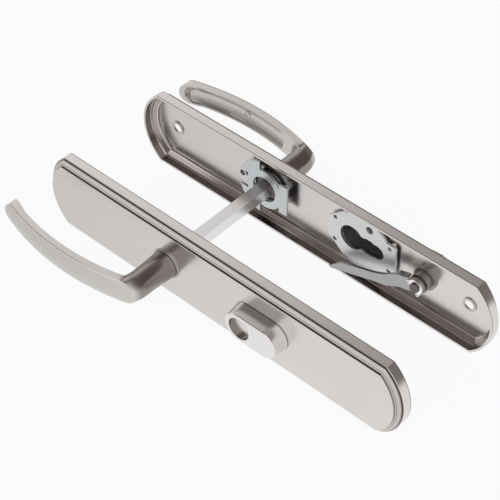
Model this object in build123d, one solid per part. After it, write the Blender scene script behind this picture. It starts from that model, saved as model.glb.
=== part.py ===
from build123d import *
import os
from math import acos, asin, cos, degrees, radians, sin, sqrt

# Lever handle set on long back plates: two plates, two levers on one square spindle,
# a cover over the lock cylinder outside and a thumbturn with a night latch arm inside.
# Each half is drawn on its own plate: x across the plate, y up it, z out from the door,
# with z = 0 on the rim that lies against the door. Sizes are in millimetres.

os.makedirs("parts", exist_ok=True)

# Layout of the set on the door
door_gap = 74.0
spindle_y = 37.0
cylinder_drop = 68.4
turn_drop = 54.6

# Plate
plate_width = 55.0
side_length = 255.0
end_rise = 13.5
wall = 1.5
side_height = 6.4
step_inset = 0.9
step_rise = 0.8
band_inset = 2.7
band_rise = 2.0
crown_inset = 0.5
crown_rise = 1.4
edge_round = 0.4

# Stop post beside each lever bearing
post_offset = 20.7
post_r = 3.3
post_length = 3.9
post_hole_r = 2.2
post_hole_depth = 2.5

# Screw holes of the inner plate and threaded posts of the outer plate
screw_margin = 9.2
screw_hole_r = 3.2
screw_sink = 1.3
collar_width = 1.7
collar_height = 0.8
hole_inset = 0.5
thread_r = 2.5
thread_roof = 3.0
sleeve_wall = 2.0
sleeve_reach = 8.0
sleeve_chamfer = 0.6

# Profile cylinder that the set is made for
euro_r = 8.5
euro_foot_r = 5.0
euro_height = 33.0

# Spindle, lever hub, bush, washer and circlip
spindle_square = 8.0
spindle_chamfer = 0.8
spindle_play = 2.0
socket_depth = 30.0
hub_low = 5.0
hub_wall = 2.26
bush_wall = 1.6
bush_reach = 1.2
flange_width = 0.7
flange = 1.0
flange_round = 0.4
groove_depth = 0.7
clip_thick = 1.0
clip_width = 3.05
washer_width = 3.0
washer_thick = 1.1

# Bearing plate
sheet = 1.5
bearing_low = 2.5
lobe_margin = 5.0
lobe_start = 3.7
notch_half = 6.3
notch_start = 13.4
bearing_ring = 5.2
bearing_play = 1.3
foot_half = 11.6
foot_reach = 18.8
foot_neck = 12.2
leg_half = 2.2
lobe_leg_x = 8.4
lobe_leg_y = 11.8
foot_leg_x = 5.6
foot_leg_y = -14.4

# Lever grip and neck
lever_reach = 107.0
lever_heel = 5.2
lever_half = 9.0
tip_half = 8.0
tip_flat = 6.2
side_thick = 4.4
crown = 2.5
bow_r = 178.0
bow_offset = 50.0
bow_out = 51.0
grip_run_out = 3.0
heel_bury = 1.5
hollow_start = 21.0
hollow_wall = 1.3
hollow_end = 2.4
hollow_depth = 2.8
hollow_tip = 2.6
pad_length = 20.0
pad_thick = 0.9
pad_ramp_r = 30.0
mark_offset = 57.0
mark_r = 2.3
mark_width = 0.5
mark_height = 0.6
neck_gap = 0.2
neck_inset = 1.0
neck_half_x = 8.7
neck_half_y = 8.25
neck_bend = 10.0
neck_steps = 4
blend = 0.02
grub_r = 2.5
grub_length = 4.2
grub_out = 20.0
grub_key = 1.25
grub_key_depth = 1.6

# Cylinder cover on the outer plate
cover_length = 41.6
cover_width = 22.0
cover_height = 10.4
cover_taper = 1.0
cover_slope = 1.5
cover_round = 0.9
cover_drop = 8.0
cover_pocket = 4.5
lip = 3.0
lip_r = 7.6
key_disc_r = 8.6
key_disc_thick = 2.2
cover_screw_x = 8.1
cover_screw_drop = 17.6
cover_screw_r = 1.5
cover_screw_grip = 4.6
screw_head_r = 2.7
screw_head = 1.8
screw_slot = 0.8

# Closed cap over the cylinder opening of the inner plate
cap_height = 6.0
cap_roof = 1.5

# Cylinder plate behind the inner plate
cyl_thick = 1.5
cyl_gap = 1.6
cyl_margin = 1.2
cyl_drop = 7.9
cyl_bulge = 1.1
cyl_neck_half = 19.0
cyl_neck_y = 19.6
cyl_neck_length = 13.2
cyl_neck_slope = 49.0
cyl_tail_width = 24.4
cyl_tail_reach = 26.0
cyl_tail_round = 2.5
cyl_hole_x = 9.0
cyl_hole_y = 21.0
cyl_hole_r = 1.5
cyl_pin_x = 14.4
cyl_pin_y = 5.4
cyl_pin_r = 2.6
cyl_foot_x = 16.0
cyl_foot_r = 1.8
cyl_notch = 0.7
cyl_notch_length = 6.0
cyl_notch_y = -13.0

# Thumbturn, its bush, night latch arm and circlip
shaft_r = 4.0
turn_bush_wall = 2.0
turn_barrel_wall = 2.4
turn_flange_width = 2.0
turn_flange = 1.6
turn_bush_low = 2.6
knob_r = 13.0
knob_skirt = 3.2
knob_round = 1.2
wing_half = 14.0
wing_height = 14.1
wing_bow = 6.0
wing_thick = 8.0
wing_round = 2.0
arm_low = -0.6
arm_thick = 1.8
arm_lean = 18.5
arm_length = 68.5
arm_half = 3.3
arm_root_half = 5.0
arm_taper_start = 18.0
arm_taper_end = 30.0
arm_drop = 2.6
joggle_start = 14.0
joggle_end = 22.0
eye_wall = 1.4
nose = 11.0
nose_blunt = 1.2
arm_flange = 3.0
arm_flange_thick = 1.2
arm_flange_start = 6.0
flat_half = 2.9
turn_groove_r = 2.7
turn_clip_thick = 0.9
turn_clip_width = 2.6
turn_clip_lean = 229.0
turn_clip_gap = 52.0
lever_clip_gap = 22.0
shaft_tail = 1.2
tail_r = 3.3

# Clearances
running = 0.06
press = 0.05
slack = 0.3
hole_play = 0.2
cut = 1.0

# Places that follow from the sizes
plate_height = side_height + step_rise + band_rise + crown_rise
floor = plate_height - wall
floor_half = plate_width / 2 - wall - step_inset - band_inset - crown_inset
end_radius = ((plate_width / 2) ** 2 + end_rise ** 2) / (2 * end_rise)
arc_centre = side_length / 2 + end_rise - end_radius
screw_y = side_length / 2 - screw_margin
cylinder_y = spindle_y - cylinder_drop
turn_y = cylinder_y - turn_drop
seat = floor - collar_height + hole_inset
hole_half = spindle_square / 2 + running
journal_r = hole_half * sqrt(2) + hub_wall
bush_r = journal_r + bush_wall
turn_bush_r = shaft_r + turn_bush_wall


def outside(shape):
    return Plane(origin=(0, -seat - door_gap, 0), x_dir=(1, 0, 0), z_dir=(0, -1, 0)) * shape


def inside(shape):
    return mirror(Plane(origin=(0, seat, 0), x_dir=(1, 0, 0), z_dir=(0, -1, 0)) * shape, about=Plane.XZ)


def rod(radius, low, high, x=0.0, y=0.0):
    standing = Cylinder(radius, high - low, align=(Align.CENTER, Align.CENTER, Align.MIN))
    return Pos(x, y, low) * standing


def block(x0, x1, y0, y1, z0, z1):
    return Pos((x0 + x1) / 2, (y0 + y1) / 2, (z0 + z1) / 2) * Box(x1 - x0, y1 - y0, z1 - z0)


def top_edges(shape):
    return shape.edges().group_by(Axis.Z)[-1]


def save(name, shape):
    export_step(shape, "parts/" + name + ".step")


# Plate: pressed shell with a stepped edge and ends cut as circle segments
def outline(inset, height):
    half = plate_width / 2 - inset
    radius = end_radius - inset
    corner = arc_centre + sqrt(radius ** 2 - half ** 2)
    tip = arc_centre + radius
    edges = [
        Line((half, -corner), (half, corner)),
        ThreePointArc((half, corner), (0, tip), (-half, corner)),
        Line((-half, corner), (-half, -corner)),
        ThreePointArc((-half, -corner), (0, -tip), (half, -corner)),
    ]
    return Pos(0, 0, height) * make_face(edges)


def stepped_block(inset, drop, rounding):
    first = inset + step_inset
    second = first + band_inset
    step_top = side_height + step_rise - drop
    band_top = step_top + band_rise
    base = extrude(outline(inset, 0), side_height - drop)
    crown_top = outline(second + crown_inset, band_top + crown_rise)
    crown_part = loft([outline(second, band_top), crown_top], ruled=True)
    if rounding > 0:
        base = fillet(top_edges(base), rounding)
        crown_part = fillet(top_edges(crown_part), rounding)
    band = loft([outline(first, step_top), outline(second, band_top)], ruled=True)
    return base + extrude(outline(first, 0), step_top) + band + crown_part


def euro_profile(margin):
    foot_y = cylinder_y + euro_r - euro_height + euro_foot_r
    shape = Pos(0, cylinder_y) * Circle(euro_r + margin)
    shape += Pos(0, (cylinder_y + foot_y) / 2) * Rectangle(2 * (euro_foot_r + margin), cylinder_y - foot_y)
    shape += Pos(0, foot_y) * Circle(euro_foot_r + margin)
    return shape


def through_plate(radius, x, y):
    return rod(radius, floor - cut, plate_height + cut, x, y)


post_y = spindle_y + post_offset
post_end = floor - post_length
post = rod(post_r, post_end, floor + slack, 0, post_y)
post -= rod(post_hole_r, post_end, post_end + post_hole_depth, 0, post_y)
plate = stepped_block(0, 0, edge_round) - stepped_block(wall, wall, 0)
plate += post
plate -= through_plate(bush_r + press, 0, spindle_y)

# Outer plate with the opening for the cylinder and two holes for the cover's screws
cover_screw_y = cylinder_y - cover_screw_drop
outer_plate = plate - extrude(Pos(0, 0, floor - cut) * euro_profile(2 * slack), wall + 2 * cut)
for side in (-1, 1):
    outer_plate -= through_plate(cover_screw_r + hole_play, side * cover_screw_x, cover_screw_y)
save("outer_plate", outside(outer_plate))

# Inner plate with countersunk screw holes, cylinder opening and thumbturn hole
inner_plate = plate - extrude(Pos(0, 0, floor - cut) * euro_profile(4 * slack), wall + 2 * cut)
inner_plate -= through_plate(turn_bush_r + press, 0, turn_y)
sink = Cone(screw_hole_r, screw_hole_r + screw_sink, screw_sink)
for y in (-screw_y, screw_y):
    inner_plate += rod(screw_hole_r + collar_width, floor - collar_height, floor + slack, 0, y)
    inner_plate -= rod(screw_hole_r, 0, plate_height + cut, 0, y)
    inner_plate -= Pos(0, y, plate_height - screw_sink / 2) * sink
save("inner_plate", inside(inner_plate))

# Threaded posts on the back of the outer plate, one behind each screw hole
sleeves = []
for y in (-screw_y, screw_y):
    sleeve = rod(thread_r + sleeve_wall, -sleeve_reach, floor, 0, y)
    sleeve = chamfer(sleeve.edges().group_by(Axis.Z)[0], sleeve_chamfer)
    sleeve -= rod(thread_r, -sleeve_reach - cut, floor - thread_roof, 0, y)
    sleeves.append(outside(sleeve))
save("outer_posts", Compound(children=sleeves))

# Bushes that carry the levers, with a thin flange on the plate's face
bush_end = floor - bush_reach
flange_r = bush_r + flange_width
bush = rod(flange_r, plate_height, plate_height + flange, 0, spindle_y)
bush = fillet(top_edges(bush), flange_round)
bush += rod(bush_r, bush_end, plate_height, 0, spindle_y)
bush -= rod(journal_r + running, bush_end, plate_height + flange, 0, spindle_y)
save("outer_bush", outside(bush))
save("inner_bush", inside(bush))

# Bearing plate behind each lever: two lobes round the stop post and a foot, on four folded legs
ring_r = journal_r + bearing_play + bearing_ring
lobe_r = plate_width / 2 - wall - lobe_margin
lobes = Circle(lobe_r) - Pos(0, lobe_start - lobe_r) * Rectangle(2 * lobe_r, 2 * lobe_r)
notch_height = lobe_r - notch_start
lobes -= Pos(0, notch_start + notch_height / 2) * Rectangle(2 * notch_half, notch_height)
foot_height = foot_reach - foot_neck
foot = Pos(0, -foot_neck - foot_height / 2) * Rectangle(2 * foot_half, foot_height)
blank = lobes + Circle(ring_r) + foot - Circle(journal_r + bearing_play)
bearing = extrude(Pos(0, spindle_y, bearing_low) * blank, sheet)
for side in (-1, 1):
    for leg_x, leg_y in ((lobe_leg_x, lobe_leg_y), (foot_leg_x, foot_leg_y)):
        leg = block(-leg_half, leg_half, 0, sheet, bearing_low, floor)
        bearing += Pos(side * leg_x, spindle_y + leg_y, 0) * leg
save("outer_bearing_plate", outside(bearing))
save("inner_bearing_plate", inside(bearing))

# Lever: round neck that bends and flares into a hollow backed, slightly bowed grip
bow_y = spindle_y + bow_offset
bow_z = bow_out - bow_r
bow_axis = Axis((0, bow_y, bow_z), (1, 0, 0))
tip_y = spindle_y + lever_reach
heel_y = spindle_y - lever_heel
neck_low = plate_height + flange + neck_gap


def bowed(section, start_y, end_y):
    start = degrees(asin((start_y - bow_y) / bow_r))
    end = degrees(asin((end_y - bow_y) / bow_r))
    upright = Plane(origin=(0, bow_y, bow_out), x_dir=(1, 0, 0), z_dir=(0, 1, 0)) * section
    return revolve(upright.rotate(bow_axis, -start), bow_axis, revolution_arc=start - end)


def grip_plan(start, start_arc, end, margin):
    half = lever_half - margin
    end_half = tip_half - margin
    shoulder = end - tip_flat
    edges = [
        Line((half, start + start_arc), (end_half, shoulder)),
        ThreePointArc((end_half, shoulder), (0, end - margin), (-end_half, shoulder)),
        Line((-end_half, shoulder), (-half, start + start_arc)),
        ThreePointArc((-half, start + start_arc), (0, start), (half, start + start_arc)),
    ]
    return extrude(make_face(edges), 2 * bow_out)


def arched_section(half, edge, rise, back):
    edges = [
        Line((half, back), (half, edge)),
        ThreePointArc((half, edge), (0, edge - rise), (-half, edge)),
        Line((-half, edge), (-half, back)),
        Line((-half, back), (half, back)),
    ]
    return make_face(edges)


grip = bowed(arched_section(lever_half, 0, crown, side_thick), heel_y - grip_run_out, tip_y + grip_run_out)
pad_start = tip_y - pad_length
back_r = bow_r - side_thick
pad_angle = asin((pad_start - bow_y) / back_r)
ramp_y = bow_y + (back_r - pad_ramp_r) * sin(pad_angle)
ramp_z = bow_z + (back_r - pad_ramp_r) * cos(pad_angle)
pad_section = Pos(0, side_thick + pad_thick / 2) * Rectangle(2 * lever_half, pad_thick)
pad = bowed(pad_section, pad_start, tip_y + grip_run_out)
pad -= Pos(0, ramp_y, ramp_z) * Rot(0, 90, 0) * Cylinder(pad_ramp_r, 3 * lever_half)
grip = (grip + pad) & grip_plan(heel_y + heel_bury, lever_half, tip_y, 0)
hollow_y = spindle_y + hollow_start
hollow_back = side_thick + pad_thick + cut
hollow_section = arched_section(lever_half - hollow_wall, side_thick, hollow_depth, hollow_back)
hollow = bowed(hollow_section, hollow_y - grip_run_out, tip_y + grip_run_out)
hollow &= grip_plan(hollow_y, hollow_end, tip_y - hollow_tip, hollow_wall)
neck_r = flange_r - neck_inset
bend_y = spindle_y + neck_half_y + neck_bend
bend_z = bow_z + sqrt((back_r - neck_bend) ** 2 - (bow_y - bend_y) ** 2) + blend
bend_turn = degrees(acos((bow_y - bend_y) / (back_r - neck_bend)))
neck_sections = []
for step in range(neck_steps + 1):
    left = 1 - step / neck_steps
    half_x = neck_half_x + (neck_r - neck_half_x) * left ** 2
    half_y = neck_half_y + (neck_r - neck_half_y) * left ** 2
    height = bend_z - (bend_z - neck_low) * left
    neck_sections.append(Pos(0, spindle_y, height) * Ellipse(half_x, half_y))
bend_axis = Axis((0, bend_y, bend_z), (1, 0, 0))
neck = loft(neck_sections) + revolve(neck_sections[-1], bend_axis, revolution_arc=-bend_turn)
front = arched_section(lever_half, 0, crown, -3 * lever_half)
neck -= bowed(front, heel_y - lever_half, tip_y)
mark_y = spindle_y + mark_offset
mark_top = bow_z + sqrt(bow_r ** 2 - (mark_y - bow_y) ** 2)
mark_low = mark_top - side_thick + hollow_depth - mark_height
mark = rod(mark_r, mark_low, mark_top, 0, mark_y)
mark -= rod(mark_r - mark_width, mark_low, mark_low + mark_height, 0, mark_y)
lever = grip + neck - hollow + mark
lever += rod(journal_r, hub_low, neck_low + cut, 0, spindle_y)
groove_r = journal_r - groove_depth
clip_low = bush_end - washer_thick - 2 * running - clip_thick
groove = rod(2 * journal_r, clip_low, clip_low + clip_thick + running, 0, spindle_y)
lever -= groove - rod(groove_r, clip_low, clip_low + 2 * clip_thick, 0, spindle_y)
lever -= block(-hole_half, hole_half, spindle_y - hole_half, spindle_y + hole_half, 0, socket_depth)
grub_axis = Pos(0, spindle_y, grub_out) * Rot(0, -90, 0)
lever -= grub_axis * rod(grub_r, 0, 2 * lever_half)
save("outer_lever", outside(lever))
save("inner_lever", inside(lever))

# Grub screws that hold the levers on the spindle, on one side of each neck
grub_end = spindle_square / 2 + grub_length
key_hole = extrude(RegularPolygon(grub_key, 6, major_radius=False), grub_key_depth)
grub = rod(grub_r, spindle_square / 2, grub_end) - Pos(0, 0, grub_end - grub_key_depth) * key_hole
grub = grub_axis * grub
save("grub_screws", Compound(children=[outside(grub), inside(grub)]))

# Square spindle through the door
spindle_half = spindle_square / 2
spindle_end = socket_depth - spindle_play
spindle_low = -seat - door_gap - spindle_end
spindle = block(
    -spindle_half,
    spindle_half,
    spindle_low,
    spindle_end - seat,
    spindle_y - spindle_half,
    spindle_y + spindle_half,
)
spindle = chamfer(spindle.faces().filter_by(Axis.Y).edges(), spindle_chamfer)
save("spindle", spindle)

# Washer and circlip behind each bush
washer = rod(journal_r + washer_width, bush_end - running - washer_thick, bush_end - running, 0, spindle_y)
washer -= rod(journal_r + running, 0, bush_end, 0, spindle_y)


def circlip(inner, width, low, thick, y, turn, half_gap):
    outer = inner + width
    ear_r = outer * 0.24
    gap_reach = 2 * outer
    gap_x = gap_reach * sin(radians(half_gap))
    gap_y = gap_reach * cos(radians(half_gap))
    ring = Circle(outer) - Circle(inner)
    ring -= make_face(Polyline((0, 0), (gap_x, -gap_y), (-gap_x, -gap_y), close=True))
    for side in (-1, 1):
        ear = Rot(0, 0, side * (half_gap + degrees(ear_r / outer))) * Pos(0, -outer)
        ring += ear * Circle(ear_r)
        ring -= ear * Circle(ear_r / 2)
    return Pos(0, y, low) * Rot(0, 0, turn) * extrude(ring - Circle(inner), thick)


lever_clip = circlip(groove_r + press, clip_width, clip_low, clip_thick, spindle_y, 180, lever_clip_gap)
save("outer_washer", outside(washer))
save("inner_washer", inside(washer))
save("outer_clip", outside(lever_clip))
save("inner_clip", inside(lever_clip))

# Cylinder cover on the outer plate, with a round opening over the key face
cover_out = plate_height + cover_height
cover_y = cylinder_y - cover_drop
key_face = cover_out - lip
cover_base = SlotOverall(cover_length, cover_width, rotation=90)
cover_top = SlotOverall(cover_length - 2 * cover_slope, cover_width - 2 * cover_taper, rotation=90)
cover = loft([Pos(0, cover_y, plate_height) * cover_base, Pos(0, cover_y, cover_out) * cover_top], ruled=True)
cover = fillet(top_edges(cover), cover_round)
cover -= extrude(Pos(0, 0, plate_height) * euro_profile(slack), cover_pocket)
cover -= rod(key_disc_r + press, plate_height, key_face, 0, cylinder_y)
cover -= rod(lip_r, plate_height, cover_out, 0, cylinder_y)
cover_screws = []
screw_top = plate_height + cover_screw_grip
for x in (-cover_screw_x, cover_screw_x):
    cover -= rod(cover_screw_r, plate_height, screw_top + slack, x, cover_screw_y)
    screw = rod(cover_screw_r, floor, screw_top, x, cover_screw_y)
    screw += rod(screw_head_r, floor - screw_head, floor, x, cover_screw_y)
    driver_slot = Box(3 * screw_head_r, screw_slot, screw_head)
    screw -= Pos(x, cover_screw_y, floor - screw_head) * driver_slot
    cover_screws.append(outside(screw))
save("cylinder_cover", outside(cover))
save("cover_screws", Compound(children=cover_screws))
save("cover_disc", outside(rod(key_disc_r, key_face - key_disc_thick, key_face, 0, cylinder_y)))

# Closed cap on the inner plate, with a collar that snaps into the cylinder opening
cap_out = plate_height + cap_height
cap = loft([Pos(0, cover_y, plate_height) * cover_base, Pos(0, cover_y, cap_out) * cover_top], ruled=True)
cap = fillet(top_edges(cap), cover_round)
cap += extrude(Pos(0, 0, floor) * euro_profile(4 * slack - press), wall)
cap -= extrude(Pos(0, 0, floor) * euro_profile(slack), wall + cap_height - cap_roof)
save("inner_cap", inside(cap))

# Cylinder plate that stands on two dimples on the floor of the inner plate
cyl_half = floor_half - cyl_margin
cyl_y = cylinder_y - cyl_drop
cyl_low = floor - cyl_gap - cyl_thick
blank = Circle(cyl_half + cyl_bulge) & Rectangle(2 * cyl_half, 3 * cyl_half)
blank += Pos(0, cyl_neck_y) * Trapezoid(2 * cyl_neck_half, cyl_neck_length, cyl_neck_slope, cyl_neck_slope)
blank += Pos(0, -cyl_tail_reach / 2) * RectangleRounded(cyl_tail_width, cyl_tail_reach, cyl_tail_round)
for x in (-cyl_hole_x, cyl_hole_x):
    for y in (-cyl_hole_y, cyl_hole_y):
        blank -= Pos(x, y) * Circle(cyl_hole_r)
blank -= Pos(cyl_pin_x, -cyl_pin_y) * Circle(cyl_pin_r)
blank = Pos(0, cyl_y) * blank - euro_profile(slack)
notch_width = 2 * (euro_foot_r + slack + cyl_notch)
blank -= Pos(0, cylinder_y + cyl_notch_y) * Rectangle(notch_width, cyl_notch_length)
cylinder_plate = extrude(Pos(0, 0, cyl_low) * blank, cyl_thick)
for x in (-cyl_foot_x, cyl_foot_x):
    cylinder_plate += rod(cyl_foot_r, cyl_low, floor, x, cyl_y)
save("cylinder_plate", inside(cylinder_plate))

# Thumbturn: bush in the inner plate, knob with shaft, arm, washer and clip
flange_low = floor - turn_flange
turn_bush = rod(turn_bush_r, floor, plate_height, 0, turn_y)
turn_bush += rod(turn_bush_r + turn_flange_width, flange_low, floor, 0, turn_y)
turn_bush += rod(shaft_r + turn_barrel_wall, turn_bush_low, flange_low, 0, turn_y)
turn_bush -= rod(shaft_r + running, 0, plate_height, 0, turn_y)
save("turn_bush", inside(turn_bush))

turn_clip_low = arm_low - turn_clip_thick - 2 * running
shaft_end = turn_clip_low - shaft_tail
knob_low = plate_height + slack
wing_low = knob_low + knob_skirt - cut
wing_side = knob_low + wing_height - wing_bow
wing_top = knob_low + wing_height
knob = fillet(top_edges(rod(knob_r, knob_low, knob_low + knob_skirt, 0, turn_y)), knob_round)
wing_edges = [
    Line((-wing_half, wing_low), (wing_half, wing_low)),
    Line((wing_half, wing_low), (wing_half, wing_side)),
    ThreePointArc((wing_half, wing_side), (0, wing_top), (-wing_half, wing_side)),
    Line((-wing_half, wing_side), (-wing_half, wing_low)),
]
wing = Pos(0, turn_y + wing_thick / 2, 0) * extrude(Plane.XZ * make_face(wing_edges), wing_thick)
wing = fillet(wing.edges().filter_by(Axis.Y), wing_round)
knob += wing & rod(wing_half, wing_low, wing_top, 0, turn_y)
knob += rod(shaft_r, shaft_end, knob_low + cut, 0, turn_y)
flats = rod(2 * shaft_r, shaft_end, arm_low + arm_thick + hole_play, 0, turn_y)
flats -= block(-2 * shaft_r, 2 * shaft_r, turn_y - flat_half, turn_y + flat_half, shaft_end, knob_low)
knob -= flats
clip_groove = rod(2 * shaft_r, turn_clip_low - running, arm_low - running, 0, turn_y)
knob -= clip_groove - rod(turn_groove_r, shaft_end, knob_low, 0, turn_y)
tail = rod(2 * shaft_r, shaft_end, turn_clip_low, 0, turn_y)
knob -= tail - rod(tail_r, shaft_end, turn_clip_low, 0, turn_y)
save("thumbturn", inside(knob))

# Night latch arm under the clip: a joggled strip with a slanted nose and a short flange
eye_r = shaft_r + eye_wall
arm_corners = [
    (arm_root_half, 0),
    (arm_root_half, arm_taper_start),
    (arm_half, arm_taper_end),
    (arm_half, arm_length - nose),
    (nose_blunt - arm_half, arm_length),
    (-arm_half, arm_length - nose_blunt),
    (-arm_half, arm_taper_end),
    (-arm_root_half, 0),
]
arm_plan = Circle(eye_r) + make_face(Polyline(*arm_corners, close=True))
arm_hole = Circle(shaft_r + running) & Rectangle(3 * shaft_r, 2 * (flat_half + running))
arm_plan -= Rot(0, 0, -arm_lean) * arm_hole
arm_top = arm_low + arm_thick
side_corners = [
    (-eye_r, arm_low),
    (joggle_start, arm_low),
    (joggle_end, arm_low - arm_drop),
    (arm_length, arm_low - arm_drop),
    (arm_length, arm_top - arm_drop),
    (joggle_end, arm_top - arm_drop),
    (joggle_start, arm_top),
    (-eye_r, arm_top),
]
arm = extrude(Plane.YZ * make_face(Polyline(*side_corners, close=True)), arm_root_half + eye_r, both=True)
arm &= extrude(Pos(0, 0, arm_low - arm_drop) * arm_plan, arm_thick + arm_drop)
arm += block(
    arm_root_half - arm_flange_thick,
    arm_root_half,
    arm_flange_start,
    joggle_start,
    arm_low,
    arm_top + arm_flange,
)
save("night_arm", inside(Pos(0, turn_y, 0) * Rot(0, 0, arm_lean) * arm))
turn_clip_r = turn_groove_r + press
turn_clip = circlip(
    turn_clip_r, turn_clip_width, turn_clip_low, turn_clip_thick, turn_y, turn_clip_lean, turn_clip_gap
)
save("turn_clip", inside(turn_clip))
turn_washer = rod(eye_r, arm_top + running, turn_bush_low - running, 0, turn_y)
turn_washer -= rod(shaft_r + running, arm_low, turn_bush_low, 0, turn_y)
save("turn_washer", inside(turn_washer))
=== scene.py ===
import math
import bpy
from mathutils import Matrix, Vector


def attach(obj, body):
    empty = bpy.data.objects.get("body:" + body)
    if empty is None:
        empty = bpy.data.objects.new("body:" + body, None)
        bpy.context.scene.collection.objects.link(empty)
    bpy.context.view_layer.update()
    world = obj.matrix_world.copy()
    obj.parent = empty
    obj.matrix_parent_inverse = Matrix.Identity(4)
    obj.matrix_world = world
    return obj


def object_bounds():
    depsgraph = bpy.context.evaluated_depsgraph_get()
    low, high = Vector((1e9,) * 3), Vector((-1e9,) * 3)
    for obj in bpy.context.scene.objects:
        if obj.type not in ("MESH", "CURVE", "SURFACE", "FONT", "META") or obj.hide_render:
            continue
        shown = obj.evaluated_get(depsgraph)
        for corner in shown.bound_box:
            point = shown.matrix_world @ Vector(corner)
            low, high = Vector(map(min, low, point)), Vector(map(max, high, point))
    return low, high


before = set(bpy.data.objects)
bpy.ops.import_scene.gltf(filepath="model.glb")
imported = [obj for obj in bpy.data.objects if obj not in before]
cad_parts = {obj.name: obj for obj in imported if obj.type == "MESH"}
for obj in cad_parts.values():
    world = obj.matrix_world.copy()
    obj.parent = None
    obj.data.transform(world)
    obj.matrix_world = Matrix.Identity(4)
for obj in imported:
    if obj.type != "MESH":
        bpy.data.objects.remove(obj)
cad_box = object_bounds()

# Back plates: two pressed steel shells with a stepped edge, nickel plated.
# They are linished lengthwise before plating, which leaves a satin face
# that mirrors its neighbours as soft dark patches.


def colour(code):
    channels = [int(code[i:i + 2], 16) / 255 for i in (1, 3, 5)]
    linear = [c / 12.92 if c <= 0.04045 else ((c + 0.055) / 1.055) ** 2.4 for c in channels]
    return (*linear, 1.0)


def add(tree, kind, inputs=None, **settings):
    node = tree.nodes.new(kind)
    for name, value in settings.items():
        setattr(node, name, value)
    for name, value in (inputs or {}).items():
        if isinstance(value, bpy.types.NodeSocket):
            tree.links.new(value, node.inputs[name])
        else:
            node.inputs[name].default_value = value
    return node


def sums(tree, operation, *values):
    """One sum with numbers or sockets as its terms, in their order."""
    return add(tree, "ShaderNodeMath", dict(enumerate(values)), operation=operation).outputs[0]


def vectors(tree, operation, *values):
    """One sum with vectors as its terms, which gives a length or product as Value."""
    return add(tree, "ShaderNodeVectorMath", dict(enumerate(values)), operation=operation).outputs


def tinted(tree, share, under, over):
    """The lower colour, changed to the upper one by a share from 0 to 1."""
    mix = add(tree, "ShaderNodeMix", {"Factor": share, "A": under, "B": over}, data_type="RGBA")
    return mix.outputs["Result"]


def new_material(name):
    material = bpy.data.materials.new(name)
    material.use_nodes = True
    material.node_tree.nodes.clear()
    return material, material.node_tree


def dress(material, *nodes):
    for node in nodes:
        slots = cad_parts[node].data.materials
        slots.clear()
        slots.append(material)


def brushed_metal(name, dark, light, roughness, spread, scratch_mm, stretch, depth_mm):
    """Plated metal with scratches of one width that run along the axis with the lowest stretch."""
    material, tree = new_material(name)
    place = add(tree, "ShaderNodeTexCoord").outputs["Object"]
    per_metre = 1000 / scratch_mm
    scale = tuple(per_metre * s for s in stretch)
    grain_place = add(tree, "ShaderNodeMapping", {"Vector": place, "Scale": scale}).outputs["Vector"]
    grain = add(tree, "ShaderNodeTexNoise", {
        "Vector": grain_place, "Scale": 1.0, "Detail": 4.0, "Roughness": 0.6,
    }).outputs["Fac"]
    cloud = add(tree, "ShaderNodeTexNoise", {"Vector": place, "Scale": 28.0, "Detail": 2.0}).outputs["Fac"]
    low, high = roughness - spread, roughness + spread
    rough = add(tree, "ShaderNodeMapRange", {"Value": grain, "To Min": low, "To Max": high})
    bump = add(tree, "ShaderNodeBump", {"Height": grain, "Strength": 0.25, "Distance": depth_mm / 1000})
    shader = add(tree, "ShaderNodeBsdfPrincipled", {
        "Base Color": tinted(tree, cloud, colour(dark), colour(light)), "Metallic": 1.0,
        "Roughness": rough.outputs["Result"], "Normal": bump.outputs["Normal"],
    })
    add(tree, "ShaderNodeOutputMaterial", {"Surface": shader.outputs["BSDF"]})
    return material


def opened(material):
    """Tree, shader and colour of a finished metal, for a second tone over it."""
    tree = material.node_tree
    shader = next(n for n in tree.nodes if n.type == "BSDF_PRINCIPLED")
    return tree, shader, shader.inputs["Base Color"].links[0].from_socket


def depth_from_rim(tree):
    """Height above the rim of either plate, which lie evenly on both sides of the door's middle."""
    place = add(tree, "ShaderNodeTexCoord").outputs["Object"]
    along = add(tree, "ShaderNodeSeparateXYZ", {"Vector": place}).outputs["Y"]
    apart = sums(tree, "ABSOLUTE", sums(tree, "SUBTRACT", along, door_middle))
    return sums(tree, "SUBTRACT", apart, door_half)


# The two steps of the edge, the collars of the screw holes and the inside of the walls are painted
# dark as shade. Bright highlight lines are painted on the folds inside, with a lighter shade between
# them, and a thin dark line is painted along the rim. All levels are heights above the rim.
door_middle = -0.0458
door_half = 0.037
lowest, highest = 0.005, 0.011
lower_step = ((0.0062, 0.0), (0.00641, 1.0), (0.00719, 1.0), (0.00746, 0.3))
collars = ((0.00848, 0.3), (0.00866, 0.8), (0.00896, 0.8), (0.00902, 0.0))
upper_step = ((0.00917, 0.0), (0.00923, 1.0), (0.01022, 1.0), (0.01055, 0.0))
# Tones of painted shade and highlight for the inside of the walls.
wall_shade, fold_highlight, shelf_shade = "#8A8080", "#F4F0EE", "#B5ABA9"
lower_fold = ((0.0045, wall_shade), (0.0048, fold_highlight), (0.0051, fold_highlight), (0.0054, shelf_shade))
upper_fold = ((0.0074, shelf_shade), (0.0076, fold_highlight), (0.0079, fold_highlight), (0.0082, wall_shade))
fold_range = 0.01
floor_oval = Vector((0.01, 1.0, 0.1))
inward_lean = -0.002
wall_top = 0.0082
rim_height = 0.00028
rim_half = 0.00023
satin_plate = brushed_metal(
    "satin_nickel_pressed_steel", "#D8D4D2", "#DEDAD8", roughness=0.24, spread=0.02,
    scratch_mm=0.15, stretch=(1, 1, 0.02), depth_mm=0.002)
tree, shader, bright = opened(satin_plate)
depth = depth_from_rim(tree)
height = add(tree, "ShaderNodeMapRange", {"Value": depth, "From Min": lowest, "From Max": highest})
steps = add(tree, "ShaderNodeValToRGB", {"Fac": height.outputs["Result"]})
ramp = steps.color_ramp
ramp.elements[0].color = ramp.elements[1].color = (0, 0, 0, 1)
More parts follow.
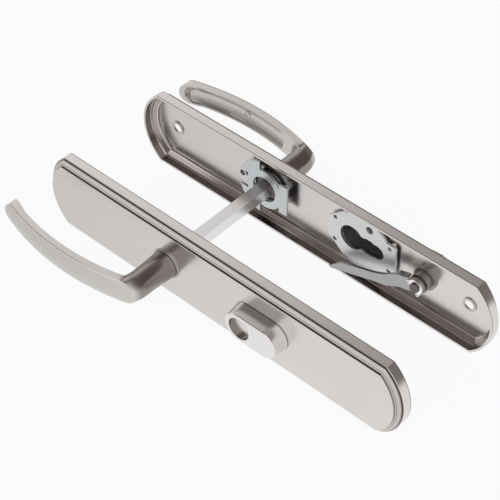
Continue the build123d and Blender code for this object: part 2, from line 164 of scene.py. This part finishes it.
for level, share in lower_step + collars + upper_step:
    stop = ramp.elements.new((level - lowest) / (highest - lowest))
    stop.color = (share, share, share, 1)
# Painted shade: the two steps of the edge and the screw collars are darkened.
step_shade = tinted(tree, steps.outputs["Color"], bright, colour("#8A807D"))
coords = add(tree, "ShaderNodeTexCoord").outputs
flat = vectors(tree, "MULTIPLY", coords["Object"], (1, 0, 1))["Vector"]
outward = vectors(tree, "DOT_PRODUCT", flat, coords["Normal"])["Value"]
reach = vectors(tree, "LENGTH", vectors(tree, "DIVIDE", flat, floor_oval)["Vector"])["Value"]
inner_wall = sums(tree, "LESS_THAN", outward, inward_lean)
inner_wall = sums(tree, "MULTIPLY", inner_wall, sums(tree, "GREATER_THAN", reach, 1.0))
inner_wall = sums(tree, "MULTIPLY", inner_wall, sums(tree, "LESS_THAN", depth, wall_top))
inside = add(tree, "ShaderNodeMapRange", {"Value": depth, "From Min": 0.0, "From Max": fold_range})
folds = add(tree, "ShaderNodeValToRGB", {"Fac": inside.outputs["Result"]})
ramp = folds.color_ramp
ramp.elements[0].color = ramp.elements[1].color = colour(wall_shade)
for level, tone in lower_fold + upper_fold:
    ramp.elements.new(level / fold_range).color = colour(tone)
# Painted shade and highlights: the inside of the walls is darkened, with bright fold lines and lighter
# ledges.
painted_wall_light = tinted(tree, inner_wall, step_shade, folds.outputs["Color"])
# A thin dark line is painted along the rim.
rim_line = tinted(tree, sums(tree, "COMPARE", depth, rim_height, rim_half), painted_wall_light, colour("#7A7371"))
tree.links.new(rim_line, shader.inputs["Base Color"])
dress(satin_plate, "outer_plate", "inner_plate")

# Threaded posts, grub screws and cover screws: small turned steel pieces,
# zinc plated, riveted behind the outer plate or screwed into their neighbours.
zinc_screw = brushed_metal(
    "zinc_plated_turned_steel", "#A5A6A6", "#BCBDBC", roughness=0.34, spread=0.05,
    scratch_mm=0.3, stretch=(1, 0.2, 1), depth_mm=0.006)
dress(zinc_screw, "outer_posts", "grub_screws", "cover_screws")

# Post threads: a 5 mm screw thread of 0.8 mm pitch tapped into each post behind the outer plate.
# Only its ridges show, as fine rings in the bore, so each is a wound wire of triangular section.
thread_sizes = {"Pitch": 0.0008, "Radius": 0.0025, "Ridge": 0.00032, "Length": 0.013, "Spacing": 0.2366}
thread_foot = -0.0753
thread_tree = bpy.data.node_groups.new("tapped_thread", "GeometryNodeTree")
for name in thread_sizes:
    thread_tree.interface.new_socket(name, in_out="INPUT", socket_type="NodeSocketFloat")
thread_tree.interface.new_socket("Mesh", in_out="OUTPUT", socket_type="NodeSocketGeometry")
size = add(thread_tree, "NodeGroupInput").outputs
helix = add(thread_tree, "GeometryNodeCurveSpiral", {
    "Resolution": 28, "Rotations": sums(thread_tree, "DIVIDE", size["Length"], size["Pitch"]),
    "Start Radius": size["Radius"], "End Radius": size["Radius"], "Height": size["Length"],
})
section = add(thread_tree, "GeometryNodeCurvePrimitiveCircle", {"Resolution": 3, "Radius": size["Ridge"]})
ridge = add(thread_tree, "GeometryNodeCurveToMesh", {
    "Curve": helix.outputs["Curve"], "Profile Curve": section.outputs["Curve"], "Fill Caps": True,
})
bore = add(thread_tree, "GeometryNodeTransform", {
    "Geometry": ridge.outputs["Mesh"], "Translation": (0, thread_foot, 0), "Rotation": (math.pi / 2, 0, 0),
})
half_back = sums(thread_tree, "MULTIPLY", size["Spacing"], -0.5)
low_post = add(thread_tree, "ShaderNodeCombineXYZ", {"Z": half_back})
step = add(thread_tree, "ShaderNodeCombineXYZ", {"Z": size["Spacing"]})
posts = add(thread_tree, "GeometryNodeMeshLine", {
    "Count": 2, "Start Location": low_post.outputs["Vector"], "Offset": step.outputs["Vector"],
})
pair = add(thread_tree, "GeometryNodeInstanceOnPoints", {
    "Points": posts.outputs["Mesh"], "Instance": bore.outputs["Geometry"],
})
real = add(thread_tree, "GeometryNodeRealizeInstances", {"Geometry": pair.outputs["Instances"]})
plated = add(thread_tree, "GeometryNodeSetMaterial", {
    "Geometry": real.outputs["Geometry"], "Material": zinc_screw,
})
add(thread_tree, "NodeGroupOutput", {"Mesh": plated.outputs["Geometry"]})
threads = bpy.data.objects.new("post_threads", bpy.data.meshes.new("post_threads"))
bpy.context.collection.objects.link(threads)
winding = threads.modifiers.new("winding", "NODES")
winding.node_group = thread_tree
for item in thread_tree.interface.items_tree:
    if item.in_out == "INPUT":
        winding[item.identifier] = thread_sizes[item.name]
wound = threads.evaluated_get(bpy.context.evaluated_depsgraph_get())
thread_mesh = bpy.data.meshes.new_from_object(wound)
threads.modifiers.remove(winding)
threads.data = thread_mesh
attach(threads, "plates")

# Bushes: turned steel rings pressed into the plates, nickel plated for the levers' necks.
# The small one, in which the thumbturn's shaft turns, is given a darker tone.
plated_bush = brushed_metal(
    "nickel_plated_turned_steel", "#ADA8A6", "#B8B3B1", roughness=0.3, spread=0.04,
    scratch_mm=0.3, stretch=(1, 0.3, 1), depth_mm=0.004)
dress(plated_bush, "outer_bush", "inner_bush")
# A darker copy of the plated bush's tone.
darker_bush = brushed_metal(
    "darker_turned_steel", "#95908F", "#A19C9B", roughness=0.3, spread=0.04,
    scratch_mm=0.3, stretch=(1, 0.3, 1), depth_mm=0.004)
dress(darker_bush, "turn_bush")

# Bearing plates and cylinder plate: stamped steel sheet, bright zinc plated.
# The bath leaves a cool white bloom with faint flowers in it, and the bearing
# plates' sides that face their plate are painted dark as shade.
least_turned = 0.02
zinc_sheet = brushed_metal(
    "bright_zinc_plated_sheet", "#CCD0D2", "#D6DADB", roughness=0.34, spread=0.05,
    scratch_mm=1.6, stretch=(1, 1, 1), depth_mm=0.004)
tree, shader, bright = opened(zinc_sheet)
coords = add(tree, "ShaderNodeTexCoord").outputs
along = add(tree, "ShaderNodeSeparateXYZ", {"Vector": coords["Object"]}).outputs["Y"]
facing = add(tree, "ShaderNodeSeparateXYZ", {"Vector": coords["Normal"]}).outputs["Y"]
toward_plate = sums(tree, "MULTIPLY", sums(tree, "SUBTRACT", along, door_middle), facing)
# Painted shade: the bearing plates' sides that face their plate are darkened.
painted_back_shade = tinted(tree, sums(tree, "GREATER_THAN", toward_plate, least_turned), bright, colour("#67625F"))
tree.links.new(painted_back_shade, shader.inputs["Base Color"])
dress(zinc_sheet, "outer_bearing_plate", "inner_bearing_plate")
white_zinc = brushed_metal(
    "white_zinc_plated_sheet", "#E0E2E2", "#E9EBEA", roughness=0.4, spread=0.05,
    scratch_mm=1.6, stretch=(1, 1, 1), depth_mm=0.004)
dress(white_zinc, "cylinder_plate")

# Levers and thumbturn: die cast zinc, ground round and satin nickel plated.
# The hub's end behind the plate is painted dark as shade, the neck is painted darker than the grip as
# shade, and a fine dark line of painted shade runs along the grip's front edge, fading toward the elbow.
spindle_z = 0.037
neck_half, neck_reach = 0.0105, 0.014
neck_shade_end, neck_bright_start = 0.039, 0.0435
neck_shade_level = 0.85
hub_end = 0.0075
bow_centre = (0.087, -0.127, 0)
edge_radius = 0.1779
edge_half = 0.0002
elbow_near, elbow_far = 0.014, 0.04
satin_lever = brushed_metal(
    "satin_nickel_die_cast_zinc", "#CDCAC7", "#D5D2CF", roughness=0.22, spread=0.02,
    scratch_mm=0.15, stretch=(1, 1, 0.05), depth_mm=0.002)
tree, shader, bright = opened(satin_lever)
depth = depth_from_rim(tree)
place = add(tree, "ShaderNodeTexCoord").outputs["Object"]
axes = add(tree, "ShaderNodeSeparateXYZ", {"Vector": place}).outputs
seat = add(tree, "ShaderNodeCombineXYZ", {"X": axes["X"], "Z": axes["Z"]}).outputs["Vector"]
aside = vectors(tree, "DISTANCE", seat, (0, 0, spindle_z))["Value"]
fade = add(tree, "ShaderNodeMapRange", {
    "Value": depth, "From Min": neck_shade_end, "From Max": neck_bright_start,
    "To Min": neck_shade_level, "To Max": 0.0,
})
near = add(tree, "ShaderNodeMapRange", {
    "Value": aside, "From Min": neck_half, "From Max": neck_reach, "To Min": 1.0, "To Max": 0.0,
})
# Painted shade: the neck is darkened near the spindle.
neck = sums(tree, "MULTIPLY", near.outputs["Result"], fade.outputs["Result"])
shaded_neck = tinted(tree, neck, bright, colour("#8A817E"))
# Painted shade: the hub and shaft ends down in the bearing plate's hole are darkened.
shaded_hub_ends = tinted(tree, sums(tree, "LESS_THAN", depth, hub_end), shaded_neck, colour("#66615F"))
bowed = add(tree, "ShaderNodeCombineXYZ", {"X": axes["Z"], "Y": depth}).outputs["Vector"]
bow = vectors(tree, "DISTANCE", bowed, bow_centre)["Value"]
# Painted shade: a fine dark line along the grip's front edge, fading toward the elbow.
edge = sums(tree, "COMPARE", bow, edge_radius, edge_half)
from_elbow = add(tree, "ShaderNodeMapRange", {
    "Value": aside, "From Min": elbow_near, "From Max": elbow_far,
})
edge_shade_share = sums(tree, "MULTIPLY", edge, from_elbow.outputs["Result"])
painted_edge_shade = tinted(tree, edge_shade_share, shaded_hub_ends, colour("#7E7A77"))
tree.links.new(painted_edge_shade, shader.inputs["Base Color"])
dress(satin_lever, "outer_lever", "inner_lever", "thumbturn")

# Spindle: cold drawn square steel bar, bright zinc plated, with draw lines along it.
# It runs through the door and is held in each lever's hub by a grub screw.
drawn_bar = brushed_metal(
    "zinc_plated_drawn_steel", "#E9EAE9", "#F2F3F2", roughness=0.3, spread=0.04,
    scratch_mm=0.25, stretch=(1, 0.02, 1), depth_mm=0.003)
dress(drawn_bar, "spindle")

# Cylinder cover and inner cap: die cast, satin nickel plated outside.
# The cover has a bright disc at the bottom of its round opening; the cover's foot and the wall of
# its opening are painted dark as shade, and the cap's cavity is painted dark as shade and made rough.
cover_foot = 0.0111
recess_centre = (0, 0, -0.0314)
recess_radius = 0.00775
satin_cover = brushed_metal(
    "satin_nickel_die_cast_cover", "#E6E4E2", "#EDEBEA", roughness=0.22, spread=0.02,
    scratch_mm=0.15, stretch=(1, 1, 0.03), depth_mm=0.002)
tree, shader, bright = opened(satin_cover)
foot = sums(tree, "LESS_THAN", depth_from_rim(tree), cover_foot)
place = add(tree, "ShaderNodeTexCoord").outputs["Object"]
across = vectors(tree, "MULTIPLY", place, (1, 0, 1))["Vector"]
from_recess = vectors(tree, "DISTANCE", across, recess_centre)["Value"]
# Painted shade: the cover's foot and the wall of its round opening are darkened.
painted_cover_shade = sums(tree, "MAXIMUM", foot, sums(tree, "LESS_THAN", from_recess, recess_radius))
tree.links.new(tinted(tree, painted_cover_shade, bright, colour("#918D8B")), shader.inputs["Base Color"])
dress(satin_cover, "cylinder_cover")
disc_metal = brushed_metal(
    "satin_steel_disc", "#E0DFDD", "#E8E7E5", roughness=0.26, spread=0.04,
    scratch_mm=0.2, stretch=(0.05, 1, 1), depth_mm=0.003)
dress(disc_metal, "cover_disc")
cavity_half = Vector((0.0092, 0.0055, 0.0172))
cavity_middle = Vector((0.0, 0.0013, -0.0394))
cap_roughness, cavity_roughness = 0.22, 0.6
cap_metal = brushed_metal(
    "satin_nickel_cap_with_shaded_cavity", "#D8D6D3", "#E0DEDC", roughness=cap_roughness, spread=0.02,
    scratch_mm=0.15, stretch=(1, 1, 0.03), depth_mm=0.002)
tree, shader, bright = opened(cap_metal)
place = add(tree, "ShaderNodeTexCoord").outputs["Object"]
apart = vectors(tree, "ABSOLUTE", vectors(tree, "SUBTRACT", place, cavity_middle)["Vector"])["Vector"]
spare = vectors(tree, "SUBTRACT", cavity_half, apart)["Vector"]
spare = add(tree, "ShaderNodeSeparateXYZ", {"Vector": spare}).outputs
least = sums(tree, "MINIMUM", sums(tree, "MINIMUM", spare["X"], spare["Y"]), spare["Z"])
in_cavity = sums(tree, "GREATER_THAN", least, 0.0)
rough = add(tree, "ShaderNodeMapRange", {"Value": in_cavity, "To Min": cap_roughness, "To Max": cavity_roughness})
# Painted shade: the cap's cavity is darkened.
tree.links.new(tinted(tree, in_cavity, bright, colour("#8C8989")), shader.inputs["Base Color"])
tree.links.new(rough.outputs["Result"], shader.inputs["Roughness"])
dress(cap_metal, "inner_cap")

# Night latch arm: stamped from bare steel strip, left grey from the rolling mill.
# Its eye sits on the thumbturn's shaft and is held there by a circlip.
mill_steel = brushed_metal(
    "bare_rolled_steel", "#ACACAB", "#B8B8B7", roughness=0.36, spread=0.05,
    scratch_mm=0.3, stretch=(1, 1, 0.05), depth_mm=0.006)
dress(mill_steel, "night_arm")

# Circlips: hardened spring steel, nickel flashed and bright.
# Each is sprung into a groove of a hub or of the thumbturn's shaft.
spring_steel = brushed_metal(
    "bright_spring_steel", "#EDEDED", "#F4F4F4", roughness=0.18, spread=0.03,
    scratch_mm=0.4, stretch=(1, 1, 1), depth_mm=0.003)
dress(spring_steel, "outer_clip", "inner_clip", "turn_clip")

# Washers: moulded nylon rings, grey and slightly waxy.
# They run loose between a bush and its circlip or arm.


def moulded_plastic(name, dark, light, roughness, grain_mm):
    material, tree = new_material(name)
    place = add(tree, "ShaderNodeTexCoord").outputs["Object"]
    grain = add(tree, "ShaderNodeTexNoise", {"Vector": place, "Scale": 1000 / grain_mm, "Detail": 2.0})
    bump = add(tree, "ShaderNodeBump", {
        "Height": grain.outputs["Fac"], "Strength": 0.2, "Distance": 0.00005,
    })
    shader = add(tree, "ShaderNodeBsdfPrincipled", {
        "Base Color": tinted(tree, grain.outputs["Fac"], colour(dark), colour(light)),
        "Roughness": roughness, "IOR": 1.53, "Normal": bump.outputs["Normal"],
    })
    add(tree, "ShaderNodeOutputMaterial", {"Surface": shader.outputs["BSDF"]})
    return material


nylon = moulded_plastic("moulded_grey_nylon", "#524F4E", "#5C5958", roughness=0.45, grain_mm=0.8)
dress(nylon, "outer_washer", "inner_washer", "turn_washer")

# Floor: plain white table under the plates' long edges, seen only from its upper side.
# Seen in the metal, its glow is painted a little darker toward its far end.
floor_size = 6.0
floor_gap = 0.0004
near_end, far_end = -0.08, 0.17
far_light = 0.82
glow_share = 0.93
floor_x = cad_box[0].x - floor_gap
corners = [(floor_x, y * floor_size, z * floor_size) for y, z in ((-1, -1), (1, -1), (1, 1), (-1, 1))]
floor_mesh = bpy.data.meshes.new("floor")
floor_mesh.from_pydata(corners, [], [(0, 1, 2, 3)])
floor = bpy.data.objects.new("floor", floor_mesh)
bpy.context.collection.objects.link(floor)
white_table, tree = new_material("matt_white_table")
path = add(tree, "ShaderNodeLightPath").outputs
facing = add(tree, "ShaderNodeNewGeometry").outputs["Backfacing"]
matt = add(tree, "ShaderNodeBsdfDiffuse", {"Color": colour("#F4F4F4")})
place = add(tree, "ShaderNodeTexCoord").outputs["Object"]
along = add(tree, "ShaderNodeSeparateXYZ", {"Vector": place}).outputs["Z"]
# Painted reflection: the glow that the metal mirrors falls off toward the far end.
mirrored = add(tree, "ShaderNodeMapRange", {
    "Value": along, "From Min": near_end, "From Max": far_end, "To Min": 1.0, "To Max": far_light,
})
table_light = add(tree, "ShaderNodeMix", {
    "Factor": path["Is Glossy Ray"], "A": 1.0, "B": mirrored.outputs["Result"],
})
glow = add(tree, "ShaderNodeEmission", {
    "Color": colour("#FFFFFF"), "Strength": table_light.outputs["Result"],
})
camera_or_gloss = sums(tree, "MAXIMUM", path["Is Camera Ray"], path["Is Glossy Ray"])
seen = sums(tree, "MAXIMUM", camera_or_gloss, path["Is Transmission Ray"])
upper = add(tree, "ShaderNodeMixShader", {
    0: sums(tree, "MULTIPLY", seen, glow_share), 1: matt.outputs[0], 2: glow.outputs[0],
})
clear = add(tree, "ShaderNodeBsdfTransparent")
both = add(tree, "ShaderNodeMixShader", {0: facing, 1: upper.outputs[0], 2: clear.outputs[0]})
add(tree, "ShaderNodeOutputMaterial", {"Surface": both.outputs[0]})
floor_mesh.materials.append(white_table)

# Studio: white behind the camera's view, and a white room with two dark, warm walls
# for what the metal mirrors. One soft lamp lights the plates' upper long edges.
scene = bpy.context.scene
scene.view_settings.view_transform = "Standard"
world = bpy.data.worlds.new("studio")
scene.world = world
world.use_nodes = True
tree = world.node_tree
tree.nodes.clear()
direction = add(tree, "ShaderNodeTexCoord").outputs["Generated"]


def dark_wall(axis, edge, core, level):
    """Brightness of the room, which falls to a level about an axis, by the cosine of the angle to it."""
    toward = vectors(tree, "DOT_PRODUCT", direction, Vector(axis).normalized())["Value"]
    return add(tree, "ShaderNodeMapRange", {
        "Value": toward, "From Min": edge, "From Max": core, "To Min": 1.0, "To Max": level,
    }, interpolation_type="SMOOTHSTEP").outputs["Result"]


near_wall = dark_wall((0.84, -0.18, 0.5), edge=0.73, core=0.95, level=0.17)
far_wall = dark_wall((0.35, 0.75, -0.35), edge=0.25, core=0.78, level=0.22)
dim = sums(tree, "MULTIPLY", near_wall, far_wall)
level = sums(tree, "MAXIMUM", dim, add(tree, "ShaderNodeLightPath").outputs["Is Camera Ray"])
background = add(tree, "ShaderNodeBackground", {
    "Color": tinted(tree, level, colour("#FFF0ED"), colour("#FFFFFF")), "Strength": level,
})
add(tree, "ShaderNodeOutputWorld", {"Surface": background.outputs[0]})


def softbox(name, place, target, side, watts):
    lamp = bpy.data.lights.new(name, "AREA")
    lamp.shape = "SQUARE"
    lamp.size = side
    lamp.energy = watts
    light = bpy.data.objects.new(name, lamp)
    aim = target - place
    light.matrix_world = Matrix.Translation(place) @ aim.to_track_quat("-Z", "Y").to_matrix().to_4x4()
    light.visible_camera = False
    bpy.context.collection.objects.link(light)


middle = (cad_box[0] + cad_box[1]) / 2
softbox("key_softbox", place=Vector((0.6, 0.33, 0.54)), target=middle, side=0.45, watts=0.16)

# Camera: above the table's edge, looking down along the plates as in the photograph.
# Its upward direction is turned so that the plates lie slantwise in the picture.
camera_place = Vector((0.7005, -0.5662, -0.4745))
camera_target = Vector((-0.0172, -0.0392, 0.0191))
picture_up = Vector((0.7092, 0.5252, 0.4703))
lens_data = bpy.data.cameras.new("camera")
lens_data.sensor_width = 36.0
lens_data.lens = 118.8
camera = bpy.data.objects.new("camera", lens_data)
backward = (camera_place - camera_target).normalized()
right = picture_up.cross(backward).normalized()
upward = backward.cross(right)
turn = Matrix((right, upward, backward)).transposed()
camera.matrix_world = Matrix.Translation(camera_place) @ turn.to_4x4()
bpy.context.collection.objects.link(camera)
scene.camera = camera
